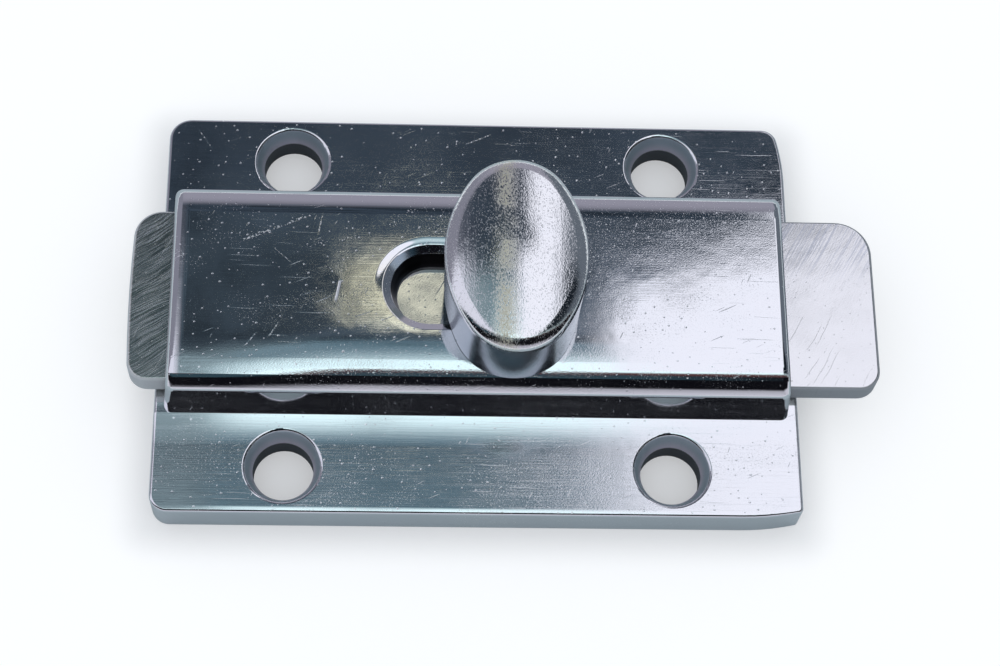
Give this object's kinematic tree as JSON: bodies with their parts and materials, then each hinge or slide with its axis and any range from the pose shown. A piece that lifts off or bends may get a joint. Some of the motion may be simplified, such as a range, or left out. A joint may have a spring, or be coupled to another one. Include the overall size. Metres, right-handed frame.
{
  "type": "partition door slide latch",
  "caption": "Chromed surface slide latch for a partition door: a flat bolt runs in a raised cover on a drilled flange and is pushed by an oval thumb knob.",
  "frame": {"origin": "centre of the four fixing holes, on the flange's back face that lies on the door", "axes": "+X along the bolt's travel towards its nose, +Y across the latch, +Z out of the door"},
  "size_m": [0.099, 0.0572, 0.0256],
  "materials": {
    "housing_chrome": "polished chrome plating on a zinc casting, finely scratched and speckled",
    "bar_chrome": "satin chrome plating with grind marks at its ends",
    "knob_chrome": "polished chrome plating, finely speckled on the crown",
    "spring_steel": "dull rolled spring steel",
    "fastener_steel": "bright zinc-plated steel"
  },
  "bodies": {
    "housing": {"housing": "housing_chrome"},
    "bolt": {"slide_bar": "bar_chrome", "knob": "knob_chrome", "friction_spring": "spring_steel", "flat_washer": "fastener_steel", "lock_washer": "fastener_steel", "knob_screw": "fastener_steel"}
  },
  "joints": [
    {"name": "bolt_slide", "type": "slide", "parent": "housing", "child": "bolt", "axis": [1, 0, 0], "range_m": [-0.01095, 0.00245]}
  ]
}
